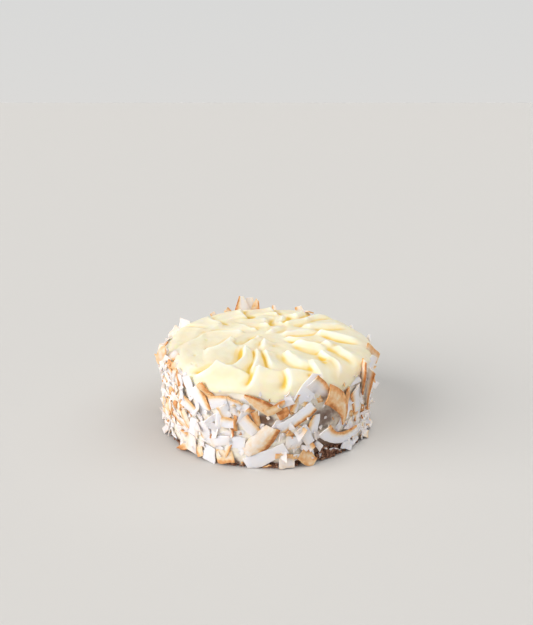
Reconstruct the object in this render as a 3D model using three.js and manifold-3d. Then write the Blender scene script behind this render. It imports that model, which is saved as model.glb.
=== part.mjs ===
// A small round coconut cake: a brown sponge, a thin coat of cream round its side with toasted
// coconut chips pressed into it, and a thick cream top worked into swirls with a palette knife.
// Millimetres, +Z up. The origin is the centre of the flat base. A bearing is an angle in degrees
// round the cake, 0 at the front (-Y) and growing towards the right (+X).
import * as THREE from "three";
import { mergeVertices } from "three/addons/utils/BufferGeometryUtils.js";
import Module from "manifold-3d";

// Driving dimensions
const spongeRadius = 71.5;
const spongeHeight = 48;
const clearGap = 0.3; // air between neighbouring pieces
const coatThickness = 1.8; // cream round the side
const coatFoot = 2.6; // mean height of the side cream's lower edge
const plateauRadius = 60; // where the flat of the cream top ends
const plateauHeight = 61.3;
const domeRise = 1.6; // how much higher the middle is
const shoulderWidth = 14.3; // the cream rounds over from the flat to the side
const topEdge = 50.5; // mean height of the cream top's lower edge
const lipDrop = 1; // rounding of that edge
const chipThickness = 1.2;
const chipSink = 0.5; // how deep a chip is pressed into the side cream

// Mesh columns and rows
const sideColumns = 48;
const fineColumns = { count: 80, from: -48, to: 160 }; // where the petals of the cream top are close
const coarseColumns = { count: 28, from: 160, to: 312 };
const topRows = { count: 17, from: 18 }; // rows of the cream top, with one more inside them
const cell = { bearing: 1.1, run: 1.4 }; // a stroke's height is taken over this much either way

// Worked out
const coatInner = spongeRadius + clearGap;
const coatRadius = coatInner + coatThickness;
const edgeRadius = plateauRadius + shoulderWidth;
const topUnderside = spongeHeight + clearGap;
const shoulderRun = (Math.PI / 2) * Math.sqrt((shoulderWidth ** 2 + (plateauHeight - topEdge) ** 2) / 2);
const topRun = plateauRadius + shoulderRun; // from the middle to the lower edge, along the surface

// The cream top is worked with a palette knife into petals, each a tilted scoop laid over the ones
// before it: run of its inner and outer end from the middle, bearing of its groove at the inner end,
// half way and at the outer end, width of the steep face from groove to crest, degrees that it covers,
// height of its crest, depth of its groove, and how far its lip draws back towards the far side
const petals = [
  [4, 25, 120, 130, 140, 6, 50, 1.9, 0.8, 4],
  [7, 30, -66, -50, -44, 4, 46, 1.8, 1.2, 4],
  [12, 34, -146, -146, -148, 4, 44, 2.0, 1.6, 5],
  [12, 39, 78, 90, 97, 7, 38, 2.6, 1.6, 5],
  [14, 33, -16, -13, -12, 4, 42, 3.2, 0.5, 6],
  [16, 36, 48, 56, 66, 6, 32, 2.3, 1.4, 5],
  [18, 43, 172, 175, 177, 5, 44, 2.4, 2.2, 6],
  [18, 47, -112, -108, -106, 6, 44, 2.2, 1.4, 8],
  [26, 60, -74, -57, -66, 4, 36, 3.4, 2.2, 9],
  [25, 49, 150, 156, 160, 5, 18, 2.2, 2.0, 4],
  [25, 53, 138, 131, 128, 8, 22, 2.4, 1.5, 5],
  [33, 64, 110, 108, 104, 8, 26, 2.9, 1.6, 6],
  [26, 55, 40, 43.5, 47, 9, 30, 3.9, 1.5, 6],
  [37, 68, 88, 82, 78, 8, 26, 3.5, 1.8, 6],
  [37, 64, 14, 17, 23, 7, 28, 3.2, 1.4, 6],
  [31, 60, -5.5, -2.6, 1.9, 2.8, 17, 2.4, 2.2, 6],
  [31, 71, -15.5, -12, -6.5, 2.6, 10, 2.5, 2.4, 4],
  [29, 71, -31.5, -23.5, -37.5, 2.8, 12, 2.9, 2.4, 4],
  [39, 69, -128, -133, -140, 5, 34, 2.0, 2.0, 6],
  [43, 71, -162, -163, -164, 4, 32, 2.9, 2.5, 5],
  [42, 73, 58, 53, 52, 8, 26, 3.6, 1.7, 5],
  [45, 71, 133, 133, 130, 8, 16, 2.2, 1.4, 4],
  [47, 72, 170, 172, 172, 4, 24, 2.7, 2.2, 5],
  [45, 75, 148, 148, 147, 7, 22, 2.8, 1.8, 5],
  [44, 78, -96, -74, -58, 9, 38, 1.3, 0.5, 8],
  [48, 76, -110, -114, -120, 7, 36, 1.2, 1.2, 8],
  [48, 76, 44, 38.5, 37, 4.5, 16, 2.9, 2.1, 6],
  [56, 79, 28, 24, 20, 3.2, 18, 2.6, 1.7, 4],
  [61, 80, 9.5, 8.5, 7, 2.8, 20, 2.7, 2.3, 4],
  [58, 80, -6, -7, -15.5, 2.8, 17, 2.8, 2.3, 5],
  [58, 79, -36.5, -37, -49, 3.6, 31, 3.4, 2.4, 8],
];
const strokeEnd = { fading: 70, gone: 79.5 }; // the strokes run out over the shoulder

// Pockets that the knife left where it lifted off: bearing, run from the middle, width and depth
const pockets = [
  [-162, 44.4, 4.2, 3.0],
  [-126, 40.2, 2.8, 2.2],
  [177, 24.6, 3.0, 2.6],
  [157, 30.8, 3.2, 2.2],
  [172, 52.8, 4.0, 2.4],
  [-146, 15.6, 2.6, 1.6],
  [-52, 12.4, 2.2, 1.6],
  [38, 58.7, 2.8, 1.8],
  [64, 50.6, 2.8, 1.8],
  [23, 67.2, 2.2, 1.5],
];

// Scallops of the cream top's lower edge and of the side cream's lower edge
const edgeScallops = [
  { count: 3, depth: 2.4, at: -50 },
  { count: 10, depth: 2.2, at: 24 },
];
const edgeDip = { bearing: 40, spread: 12, depth: 2.6 }; // here the cream top hangs lowest
const footScallops = [
  { count: 5, depth: 1, at: 10 },
  { count: 9, depth: 0.8, at: 34 },
];
const bareFoot = { bearing: 33, spread: 13, rise: 6 }; // here the sponge shows highest

// Places on the side that stay bare of scattered chips: half widths in degrees and millimetres
const barePatches = [
  { bearing: 31, height: 31, wide: 8, high: 10 },
  { bearing: 33, height: 5, wide: 13, high: 5 },
  { bearing: -1, height: 35, wide: 4, high: 4 },
  { bearing: 38, height: 49, wide: 10, high: 5 },
  { bearing: -12, height: 3.5, wide: 6, high: 4 },
];

// Chips set by hand: bearing, height of the middle, length, width, turn of the length from level,
// lean of the top outwards, swing of the right edge inwards, how far it stands off the side cream,
// curl of the ends towards the cake, hook in the chip's own plane, taper of its right end
const chosenChips = [
  [-3, 19, 26, 14, 54, 4, 0, 2.6, 15, 0, 0.1],
  [-0.5, 8.5, 28, 9.5, 27, 2, 0, 1.2, 8, 0, 0.15],
  [14.4, 33.5, 26.5, 8.5, 35, 4, 0, 1.6, 12, -8, 0.1],
  [19.7, 53, 22, 12, 62, 5, 0, 1.8, 15, 0, 0.45],
  [26, 52.5, 18, 10, -46, 12, 0, 2.4, 20, 10, 0.3],
  [38, 37.4, 32, 12.5, -60, 3, 0, 4, 20, 70, 0.8],
  [43, 39.5, 15, 6, 84, 6, 20, 2.5, 20, 0, 0.15],
  [38.4, 13.5, 35, 8.5, -17, 10, 0, 2.2, 20, -80, 0.15],
  [52, 32, 26, 8.5, -74, 4, 0, 0.8, -20, 25, 0.15],
  [56, 49, 24, 8, -84, 0, 45, 2.6, 0, 0, 0.15],
  [63.4, 36, 30, 7, -81, 0, 50, 2.6, -15, 0, 0.15],
  [-33.8, 42.5, 18, 10.5, -57, 4, 0, 2, 10, 0, 0.15],
  [-31.5, 48.5, 12, 7, -42, 14, 0, 2.2, 30, 0, 0.15],
  [-4.2, 45.5, 20, 9, 144, 12, 0, 1.8, 15, -15, 0.75],
  [2.6, 41, 10.5, 5.5, 26, 6, 0, 1.4, 0, 0, 0.15],
  [7.7, 38.5, 8, 7, 22, 0, 0, 1.2, 0, 0, 0.15],
  [-4.8, 34.5, 11, 4, -73, 4, 20, 1.8, 40, 0, 0.15],
  [-11.7, 41, 9, 7, 8, 4, 0, 1.2, 0, 0, 0.15],
  [-18.6, 30.5, 10.5, 7.5, 1, 6, 0, 1.6, 0, 0, 0.15],
  [-8.3, 29.7, 14.5, 8.5, -49, 2, 0, 1.6, 8, 0, 0.15],
  [-14.6, 17.5, 10.5, 8.5, 6, 2, 0, 1.2, 0, 0, 0.15],
  [-23, 17, 15, 7, 18, 2, 0, 1.4, 5, 0, 0.15],
  [-23.5, 32, 11, 5, 88, 4, 15, 1.6, 0, 0, 0.15],
  [-20.2, 38, 9.5, 8, -70, 6, 10, 1.8, 0, 0, 0.15],
  [-15.5, 39, 9, 6, -50, 4, 0, 1.4, 0, 0, 0.15],
  [-23.8, 44, 13, 8.5, 15, 6, 0, 1.8, 0, 0, 0.15],
  [-20.9, 6.2, 11.5, 9, 10, -12, 0, 1.8, 15, 0, 0.15],
  [9.5, 4.6, 10, 8, -6, -14, 0, 1.8, 0, 0, 0.15],
  [20, 5.4, 12, 9, -44, -12, 0, 1.8, 0, 0, 0.15],
  [12.7, 17.4, 10, 8.5, -8, 2, 0, 1.4, 12, 0, 0.15],
  [19, 21.5, 14, 7.5, -62, 2, 0, 1.5, 0, 0, 0.15],
  [23, 28.5, 13, 7, 75, 4, 0, 1.6, 12, 0, 0.15],
  [9.2, 9, 14, 3, -8, 0, 0, 2, 0, 15, 0.15],
  [-48.2, 45.8, 18, 8, 89, 4, -10, 2, 0, 0, 0.15],
  [-41.4, 48.5, 14, 8, -76, 6, 0, 1.8, 0, 0, 0.15],
  [-41.6, 34.5, 14, 8, -25, 6, 0, 1.8, 0, 0, 0.15],
  [-44.6, 24, 13, 5.5, -60, 4, 0, 1.8, 10, 0, 0.15],
  [-39, 21, 14, 8, 75, 6, 0, 1.8, 0, 0, 0.15],
  [-32.5, 21.5, 12, 9, -70, 6, 0, 1.8, 0, 0, 0.15],
  [-41, 8.5, 12, 9.5, 87, -4, 0, 2, 0, 0, 0.15],
  [-29.4, 5.6, 10, 9, 88, -10, 0, 2, 0, 0, 0.15],
  [-36, 5.2, 8, 7, -52, -12, 0, 2, 0, 0, 0.15],
  [45, 5.4, 11, 7, -32, -8, 0, 1.8, 0, 0, 0.15],
  [46.4, 18.2, 9, 6.5, -38, 4, 0, 1.6, 0, 0, 0.15],
  [195.5, 57, 25, 15, 86, 4, 0, 1.2, 0, 0, 0.6],
  [191, 56.5, 22, 10, 92, 6, 0, 2.2, 15, 0, 0.45],
  [187.5, 56, 20, 9, 102, 6, 0, 1.2, 30, 0, 0.55],
  [-119, 53.2, 19, 12, 82, 0, 84, -0.6, 0, 0, 0.1],
  [-111, 53, 13, 10, 60, 0, 80, 0.4, 0, 0, 0.1],
  [-104, 48.5, 10, 7, 50, 10, 0, 1, 0, 0, 0.15],
  [-71, 56.5, 16, 8.5, 63, 18, 45, 2.2, 20, 60, 0.4],
  [-66, 53, 12, 8, 70, -4, 30, 0.9, 0, 0, 0.15],
  [158, 54, 16, 8, 70, 0, 0, 1.2, 20, 0, 0.15],
  [97, 53.5, 10, 8, 60, 10, 0, 0.9, 0, 0, 0.15],
  [80, 52.5, 15, 10, -35, 0, -50, 1, 20, 0, 0.15],
  [73, 49, 13, 10, 60, 8, -30, 0.8, 0, 0, 0.15],
  [76, 33, 9, 6, -30, 0, -45, 3, 0, 0, 0.15],
  [118, 51, 13, 6, 60, 4, 0, 1.2, 0, 0, 0.15],
  [-147, 52, 14, 6, 70, 20, 0, 2, 0, 0, 0.15],
  [-157, 53.5, 14, 7, 60, 20, 0, 2, 0, 0, 0.3],
  [175, 54, 13, 6, 80, 20, 0, 2, 0, 0, 0.4],
  [-80, 54, 13, 9, 75, 0, 40, 1, 0, 0, 0.15],
  [-16.3, 43.8, 11, 7, -14, 6, 0, 1.6, 0, 0, 0.15],
  [-15.2, 31, 10.5, 2.4, 89, 4, 10, 2, 0, 0, 0.1],
];

// Two more chips, which lie on the cream top
const creamChips = [
  [-64, 59.6, 6, 12, 85, -60, 0, -4.1, 0, 0, 0.1],
  [150, 62.2, 6, 9, 100, -72, 0, -10, 0, 0, 0.2],
];

// Chips scattered by rule over the rest of the side, and leaning on its foot
const sideChips = {
  count: 76,
  lowest: 6,
  highest: 46,
  length: [7, 17],
  width: [5, 9],
  lean: 22,
  yaw: 24,
  curl: 45,
};
const footChips = { count: 20, height: 3.4, length: [6, 11], width: [5, 8], lean: -48 };
const goldenAngle = 137.508;

const { clamp, degToRad, lerp, smoothstep } = THREE.MathUtils;
const cosine = (degrees) => Math.cos(degToRad(degrees));
const sine = (degrees) => Math.sin(degToRad(degrees));
const wrapped = (bearing) => ((((bearing + 180) % 360) + 360) % 360) - 180;
const scalloped = (bearing, scallops) =>
  scallops.reduce((sum, s) => sum + s.depth * cosine(s.count * (bearing - s.at)), 0);

// A repeatable draw between 0 and 1 for the given item and use
function draw(item, use) {
  const wave = Math.sin(item * 127.1 + use * 311.7) * 43758.5453;
  return wave - Math.floor(wave);
}

const wasm = await Module();
wasm.setup();

// A closed geometry as a solid that can be joined and cut
function solidOf(geometry) {
  const bare = geometry.clone();
  bare.deleteAttribute("normal");
  bare.deleteAttribute("uv");
  const merged = mergeVertices(bare, 1e-4);
  const corners = merged.index.array;
  const kept = [];
  for (let i = 0; i < corners.length; i += 3) {
    const [a, b, c] = corners.subarray(i, i + 3);
    if (a !== b && b !== c && c !== a) kept.push(a, b, c);
  }
  return new wasm.Manifold(
    new wasm.Mesh({
      numProp: 3,
      vertProperties: merged.attributes.position.array,
      triVerts: new Uint32Array(kept),
    }),
  );
}

function geometryOf(solid) {
  const mesh = solid.getMesh();
  const geometry = new THREE.BufferGeometry();
  geometry.setAttribute("position", new THREE.BufferAttribute(mesh.vertProperties, 3));
  geometry.setIndex(new THREE.BufferAttribute(mesh.triVerts, 1));
  geometry.computeVertexNormals();
  return geometry;
}

// The largest of a solid's separate bodies: a scrap cut off by a neighbour is dropped
function largestBody(solid) {
  return solid.decompose().reduce((best, body) => (body.volume() > best.volume() ? body : best));
}

function evenBearings({ count, from, to }) {
  return Array.from({ length: count }, (_, column) => lerp(from, to, column / count));
}

const sideBearings = evenBearings({ count: sideColumns, from: 0, to: 360 });
const topBearings = [...evenBearings(fineColumns), ...evenBearings(coarseColumns)];

// A solid turned about Z whose profile changes on the way round. profileAt gives, for each of the
// bearings, [radius, height] points from the underside round the outside to the top.
function turnedSolid(profileAt, bearings) {
  const start = profileAt(0).map(([radius, height]) => new THREE.Vector2(radius, height));
  const geometry = new THREE.LatheGeometry(start, bearings.length);
  const places = geometry.attributes.position;
  for (let column = 0; column <= bearings.length; column++) {
    const bearing = bearings[column % bearings.length];
    profileAt(bearing).forEach(([radius, height], row) => {
      const vertex = column * start.length + row;
      places.setXYZ(vertex, radius * sine(bearing), height, radius * cosine(bearing));
    });
  }
  geometry.rotateX(Math.PI / 2);
  return solidOf(geometry);
}

// Height of the cream's lower edge on top of the side
function edgeAt(bearing) {
  const fromDip = wrapped(bearing - edgeDip.bearing) / edgeDip.spread;
  return topEdge + scalloped(bearing, edgeScallops) - edgeDip.depth * Math.exp(-(fromDip ** 2));
}

// The cream's lift at a point once one more petal is laid over what was there before
function overlaid(before, petal, bearing, run) {
  const [inner, outer, first, middle, last, face, span, height, depth, arch] = petal;
  const ahead = wrapped(bearing - middle);
  if (run < inner - 12 || run > outer || ahead < -60 || ahead > span + 60) return before;
  const perDegree = degToRad(1) * Math.max(run, 3);
  const share = clamp((run - inner) / (outer - inner), 0, 1);
  const ends = first * (1 - share) * (1 - 2 * share) + last * share * (2 * share - 1);
  const off = wrapped(bearing - ends - 4 * middle * share * (1 - share)) * perDegree; // past the groove
  const slope = face * Math.min(1, 0.5 + 1.3 * share); // the scoop is narrower at its inner end
  const across = clamp((off - slope) / Math.max(span * perDegree - slope, 4), 0, 1);
  const lip = inner + arch * across ** 1.6;
  const out = clamp((run - lip) / (outer - lip), 0, 1);
  const fall = height * (1 - across) ** 1.2 * (1 - 0.55 * out);
  const scoop = 0.35 * height * Math.sin(Math.PI * across ** 0.8) * Math.sin(Math.PI * out ** 0.7);
  const farSide = 0.35 * depth * smoothstep(across, 0.5, 1);
  const raisedLip = 0.3 * height * (1 - across) ** 2 * Math.exp(-(((run - lip) / 4) ** 2));
  const reach = smoothstep(run, inner - 1, inner + 8) * (1 - smoothstep(run, outer - 9, outer));
  const bank = clamp(9 - face, 2.6, 6); // a narrow face has a broad bank before it
  const wall = off > 0 ? 1 - smoothstep(off / slope, 0, 1) : Math.exp(-((off / bank) ** 2));
  const onto = smoothstep(off / slope, 0, 1) * smoothstep((run - lip) / (1 + 0.42 * slope), -1.2, 1);
  const covered = onto * (1 - smoothstep(across, 0.8, 1)) * (1 - smoothstep(run, outer - 10, outer));
  return lerp(before - depth * reach * wall, fall - scoop - farSide + raisedLip, covered);
}

// How far the knife raised or sank the cream at a distance from the middle along the surface
function petalLift(bearing, run) {
  const loose = smoothstep(run, 8, 30); // nothing done by hand is quite straight
  const sway = 1.3 * sine(5 * bearing + 7.2 * run) + 0.9 * sine(11 * bearing + 40 - 9.5 * run);
  const drift = 0.8 * sine(7 * bearing + 60 - 4.5 * run) + 0.55 * sine(13 * bearing + 9.5 * run);
  const at = [bearing + sway * loose, run + drift * loose];
  const lift = petals.reduce((before, petal) => overlaid(before, petal, ...at), 0);
  return lift * (1 - smoothstep(run, strokeEnd.fading, strokeEnd.gone));
}

// The same, taken over one cell of the mesh so that its crests come out even
function cellLift(bearing, run) {
  const apart = [-1, 0, 1];
  let sum = 0;
  for (const aside of apart) {
    for (const along of apart) {
      sum += petalLift(bearing + aside * cell.bearing, Math.max(0, run + along * cell.run));
    }
  }
  return sum / apart.length ** 2;
}

function pocketDepth(bearing, run) {
  return pockets.reduce((sum, [at, from, wide, deep]) => {
    const aside = degToRad(wrapped(bearing - at)) * from;
    return sum + deep * Math.exp(-(aside ** 2 + (run - from) ** 2) / wide ** 2);
  }, 0);
}

// A point of the cream top as [radius, height]. grow swells the shape.
function creamPoint(bearing, run, grow) {
  const lift = cellLift(bearing, run) - pocketDepth(bearing, run) + grow;
  if (run <= plateauRadius) {
    return [run, plateauHeight + domeRise * (1 - (run / plateauRadius) ** 2) + lift];
  }
  const turn = 90 * ((run - plateauRadius) / shoulderRun);
  const edge = edgeAt(bearing);
  const drop = plateauHeight - edge;
  const outwards = sine(turn) / shoulderWidth;
  const upwards = cosine(turn) / drop;
  const unit = Math.hypot(outwards, upwards);
  return [
    plateauRadius + shoulderWidth * sine(turn) + (lift * outwards) / unit,
    edge + drop * cosine(turn) + (lift * upwards) / unit,
  ];
}

function creamTop(grow) {
  const middle = [0, creamPoint(0, 0, grow)[1]];
  return turnedSolid((bearing) => {
    const edge = edgeAt(bearing);
    const hangs = edge - lipDrop < topUnderside; // here the edge hangs down outside the sponge
    const wall = hangs ? coatInner - grow : spongeRadius + grow;
    const profile = [
      [0, topUnderside - grow],
      [wall, topUnderside - grow],
      [wall, edge - grow],
      [edgeRadius - lipDrop + grow, edge - lipDrop - grow],
    ];
    for (let row = topRows.count; row >= 0; row--) {
      profile.push(creamPoint(bearing, lerp(topRows.from, topRun, row / topRows.count), grow));
    }
    return [...profile, creamPoint(bearing, topRows.from / 2, grow), middle];
  }, topBearings);
}

// The cream top with the chips that lie on it
function dressedCream() {
  return wasm.Manifold.union([creamTop(0), ...creamChips.map(chosenChip).map(placedChip)]);
}

// The sponge's crumb shows as small hollows round its foot, below the side cream
function sponge() {
  const crumbRows = [0, 2.2, 4.4, 6.6, 8.8, 11];
  const crumbDepth = 0.9;
  return turnedSolid((bearing) => {
    const side = crumbRows.map((height, row) => {
      const hollow = row === crumbRows.length - 1 ? 0 : crumbDepth * draw(bearing, row);
      return [spongeRadius - hollow, height];
    });
    return [[0, 0], ...side, [spongeRadius, spongeHeight], [0, spongeHeight]];
  }, sideBearings);
}

// The cream round the side, its lower edge uneven and its upper edge under the cream top
function sideCream() {
  return turnedSolid((bearing) => {
    const fromBare = wrapped(bearing - bareFoot.bearing) / bareFoot.spread;
    const foot = coatFoot + scalloped(bearing, footScallops) + bareFoot.rise * Math.exp(-(fromBare ** 2));
    const head = edgeAt(bearing) - lipDrop;
    return [
      [coatInner + clearGap, head],
      [coatInner, foot],
      [coatRadius, foot],
      [coatRadius, head],
      [coatInner + clearGap, head],
    ];
  }, sideBearings);
}

// A chip of coconut: a thin plate, a little narrower at one end, bent by its curl and its hook
function chipPlate({ length, width, curl, hook, tip }) {
  const bendStep = 36; // degrees of bend for each step along the chip
  const steps = 1 + Math.round((Math.abs(curl) + Math.abs(hook)) / bendStep);
  const taper = 0.2;
  const plate = new THREE.BoxGeometry(length, width, chipThickness, steps, 1, 1);
  const places = plate.attributes.position;
  const bent = (along, across, degrees) => {
    if (degrees === 0) return [along, across];
    const radius = length / degToRad(degrees);
    const turn = along / radius;
    return [(radius + across) * Math.sin(turn), (radius + across) * Math.cos(turn) - radius];
  };
  for (let i = 0; i < places.count; i++) {
    const along = places.getX(i);
    const narrow = 1 - (taper * along) / length - tip * (0.5 + along / length) ** 2;
    const [hooked, across] = bent(along, places.getY(i) * narrow, hook);
    const [curled, out] = bent(hooked, places.getZ(i), curl);
    places.setXYZ(i, curled, across, out);
  }
  return plate;
}

// A chip placed on the side cream: turned in its own plane, leant outwards and swung sideways
function placedChip(chip) {
  const place = new THREE.Matrix4().makeRotationZ(degToRad(chip.bearing));
  place.multiply(new THREE.Matrix4().makeTranslation(0, -coatRadius + chipSink - chip.stand, chip.height));
  place.multiply(new THREE.Matrix4().makeRotationX(Math.PI / 2));
  place.multiply(new THREE.Matrix4().makeRotationX(degToRad(chip.lean)));
  place.multiply(new THREE.Matrix4().makeRotationY(degToRad(chip.yaw)));
  place.multiply(new THREE.Matrix4().makeRotationZ(degToRad(chip.turn)));
  return solidOf(chipPlate(chip).applyMatrix4(place));
}

function chosenChip([bearing, height, length, width, turn, lean, yaw, stand, curl, hook, tip]) {
  return { bearing, height, length, width, turn, lean, yaw, stand, curl, hook, tip };
}

function scatteredChip(item) {
  const s = sideChips;
  const spread = (use) => 2 * draw(item, use) - 1;
  return {
    bearing: wrapped(item * goldenAngle),
    height: lerp(s.lowest, s.highest, (item + 0.5) / s.count),
    length: lerp(...s.length, draw(item, 1) ** 2),
    width: lerp(...s.width, draw(item, 2)),
    turn: 180 * draw(item, 3),
    lean: s.lean * spread(4),
    yaw: s.yaw * spread(5),
    curl: s.curl * spread(6),
    hook: 0,
    tip: 0,
    stand: 0.5 * draw(item, 7),
  };
}

function footChip(item) {
  const f = footChips;
  const first = sideChips.count; // its draws follow the scattered chips' own
  return {
    bearing: wrapped((360 * (item + 0.6 * draw(first + item, 1))) / f.count),
    height: f.height,
    length: lerp(...f.length, draw(first + item, 2)),
    width: lerp(...f.width, draw(first + item, 3)),
    turn: 40 * (draw(first + item, 4) - 0.5),
    lean: f.lean + 30 * (draw(first + item, 5) - 0.5),
    yaw: 0,
    curl: 0,
    hook: 0,
    tip: 0,
    stand: 1.6,
  };
}

// A scattered chip is left out where its middle would lie on a chip set by hand
const isCrowded = (chip) =>
  chosenChips.some(([bearing, height, length, width]) => {
    const aside = degToRad(wrapped(chip.bearing - bearing)) * coatRadius;
    return Math.hypot(aside, chip.height - height) < 0.3 * (length + width);
  });

const isBare = (chip) =>
  barePatches.some(
    (patch) =>
      Math.abs(wrapped(chip.bearing - patch.bearing)) < patch.wide &&
      Math.abs(chip.height - patch.height) < patch.high,
  );

// The side cream with its chips, cut back from the sponge, the cream top and the ground
function coconutCoat() {
  const scattered = Array.from({ length: sideChips.count }, (_, item) => scatteredChip(item));
  const fallen = Array.from({ length: footChips.count }, (_, item) => footChip(item));
  const spaced = [...scattered, ...fallen].filter((chip) => !isBare(chip) && !isCrowded(chip));
  const chips = [...chosenChips.map(chosenChip), ...spaced];
  const inside = turnedSolid(
    () => [
      [0, -clearGap],
      [coatInner, -clearGap],
      [coatInner + clearGap, spongeHeight],
      [coatInner + clearGap, plateauHeight],
      [0, plateauHeight],
    ],
    sideBearings,
  );
  const groundSize = 4 * spongeRadius;
  const ground = new THREE.BoxGeometry(groundSize, groundSize, groundSize);
  ground.translate(0, 0, clearGap - groundSize / 2);
  const joined = wasm.Manifold.union([sideCream(), ...chips.map(placedChip)]);
  return largestBody(joined.subtract(inside).subtract(creamTop(clearGap)).subtract(solidOf(ground)));
}

function piece(name, solid, colour, roughness) {
  const material = new THREE.MeshStandardMaterial({ color: colour, roughness, metalness: 0 });
  const mesh = new THREE.Mesh(geometryOf(solid), material);
  mesh.name = name;
  return mesh;
}

const cake = new THREE.Group();
cake.add(piece("sponge", sponge(), 0x5b3826, 0.9));
cake.add(piece("cream_top", dressedCream(), 0xf6e8b6, 0.5));
cake.add(piece("coconut_coat", coconutCoat(), 0xf1e3cd, 0.65));

export default cake;
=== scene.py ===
from math import pi, radians

import bmesh
import bpy
import numpy as np
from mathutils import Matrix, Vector, noise


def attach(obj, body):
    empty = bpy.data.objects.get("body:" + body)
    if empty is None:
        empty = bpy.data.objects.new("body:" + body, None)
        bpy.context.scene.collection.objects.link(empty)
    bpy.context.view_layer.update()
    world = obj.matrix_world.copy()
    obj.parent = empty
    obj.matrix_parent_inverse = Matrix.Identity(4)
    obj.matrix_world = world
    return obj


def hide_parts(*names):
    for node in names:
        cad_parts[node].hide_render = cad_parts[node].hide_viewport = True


# A round coconut cake seen from a little above. Its pieces are worked out in millimetres, the camera,
# floor and lamps are placed in metres, and a bearing is an angle in degrees round the cake: 0 at the
# front (-Y), growing towards +X. A run is a distance from the middle of the top along its surface.
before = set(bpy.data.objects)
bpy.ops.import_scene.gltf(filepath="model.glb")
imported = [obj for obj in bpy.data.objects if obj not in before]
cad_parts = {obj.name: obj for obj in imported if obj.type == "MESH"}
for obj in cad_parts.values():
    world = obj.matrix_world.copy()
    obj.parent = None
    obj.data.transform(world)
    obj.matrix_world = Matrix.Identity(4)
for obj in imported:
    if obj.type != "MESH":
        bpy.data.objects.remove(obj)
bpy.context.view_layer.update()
mm = 0.001


def toLinear(hexColour):
    parts = [int(hexColour[i:i + 2], 16) / 255 for i in (1, 3, 5)]
    return [p / 12.92 if p <= 0.04045 else ((p + 0.055) / 1.055) ** 2.4 for p in parts] + [1.0]


def addNode(tree, kind, settings=None, inputs=None):
    node = tree.nodes.new(kind)
    for name, value in (settings or {}).items():
        if name == "stops":  # colour ramp: place and colour of each stop
            ramp = node.color_ramp.elements
            while len(ramp) < len(value):
                ramp.new(1.0)
            for element, (place, colour) in zip(ramp, value):
                element.position = place
                element.color = toLinear(colour)
        else:
            setattr(node, name, value)
    for name, value in (inputs or {}).items():
        if isinstance(value, tuple) and isinstance(value[0], bpy.types.Node):
            tree.links.new(value[0].outputs[value[1]], node.inputs[name])
        else:
            node.inputs[name].default_value = value
    return node


def newMaterial(name):
    material = bpy.data.materials.new(name)
    material.use_nodes = True
    material.node_tree.nodes.clear()
    return material, material.node_tree


def draw(item, use):  # a repeatable draw between 0 and 1
    wave = np.sin(np.asarray(item, float) * 127.1 + use * 311.7) * 43758.5453
    return wave - np.floor(wave)


def smoothStep(x, low, high):
    t = np.clip((x - low) / (high - low), 0, 1)
    return t * t * (3 - 2 * t)


def wrapped(bearing):
    return (bearing + 180) % 360 - 180


def between(span, share):
    return span[0] + (span[1] - span[0]) * share


def sine(degrees):
    return np.sin(np.radians(degrees))


def cosine(degrees):
    return np.cos(np.radians(degrees))


def bearings(places):
    return np.degrees(np.arctan2(places[:, 0], -places[:, 1]))


def scalloped(bearing, scallops):
    return sum(depth * cosine(count * (bearing - at)) for count, depth, at in scallops)


def edgeHeight(bearing):  # lower edge of the cream top
    fromDip = wrapped(bearing - cake["dipBearing"]) / cake["dipSpread"]
    dip = cake["dipDepth"] * np.exp(-fromDip ** 2)
    return cream["edge"] + scalloped(bearing, cake["edgeScallops"]) - dip


def speckle(places, size, octaves=2):  # soft noise about 0, with features of the given size
    return np.array([noise.fractal(Vector(p), 1.0, 2.0, octaves) for p in places / size])


def linked(name, data):
    thing = bpy.data.objects.new(name, data)
    bpy.context.scene.collection.objects.link(thing)
    return thing


def smoothFaces(mesh):
    mesh.polygons.foreach_set("use_smooth", np.ones(len(mesh.polygons), bool))


def spunPiece(name, profile, columns, closed=False):
    # profile: (radius, height) points in mm, turned round Z
    bm = bmesh.new()
    verts = [bm.verts.new((0, -r * mm, z * mm)) for r, z in profile]
    edges = [bm.edges.new(pair) for pair in zip(verts, verts[1:])]
    if closed:
        edges.append(bm.edges.new((verts[-1], verts[0])))
    bmesh.ops.spin(bm, geom=verts + edges, cent=(0, 0, 0), axis=(0, 0, 1), dvec=(0, 0, 0),
                   angle=2 * pi, steps=columns, use_merge=True)
    bmesh.ops.remove_doubles(bm, verts=bm.verts, dist=0.001 * mm)
    openEdges = [e for e in bm.edges if e.is_boundary]
    if openEdges:
        bmesh.ops.edgeloop_fill(bm, edges=openEdges)
    bmesh.ops.recalc_face_normals(bm, faces=bm.faces)
    mesh = bpy.data.meshes.new(name)
    bm.to_mesh(mesh)
    bm.free()
    smoothFaces(mesh)
    return linked(name, mesh)


def cornersAndFaces(bm):
    bm.verts.index_update()
    corners = np.array([v.co for v in bm.verts])
    faces = np.array([[v.index for v in f.verts] for f in bm.faces])
    bm.free()
    return corners, faces


def copiesPiece(name, places, faces):
    # places: the corners of one small shape in each row, in mm
    start = (np.arange(len(places)) * places.shape[1])[:, None, None]
    everyFace = (faces[None] + start).reshape(-1, faces.shape[1])
    mesh = bpy.data.meshes.new(name)
    mesh.from_pydata((places.reshape(-1, 3) * mm).tolist(), [], everyFace.tolist())
    return linked(name, mesh)


def points(piece):  # the piece's vertices in mm
    flat = np.empty(3 * len(piece.data.vertices))
    piece.data.vertices.foreach_get("co", flat)
    return flat.reshape(-1, 3) / mm


def setRound(piece, radius, bearing, height):
    places = np.column_stack([radius * sine(bearing), -radius * cosine(bearing), height])
    piece.data.vertices.foreach_set("co", (places * mm).ravel())
    piece.data.update()


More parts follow.
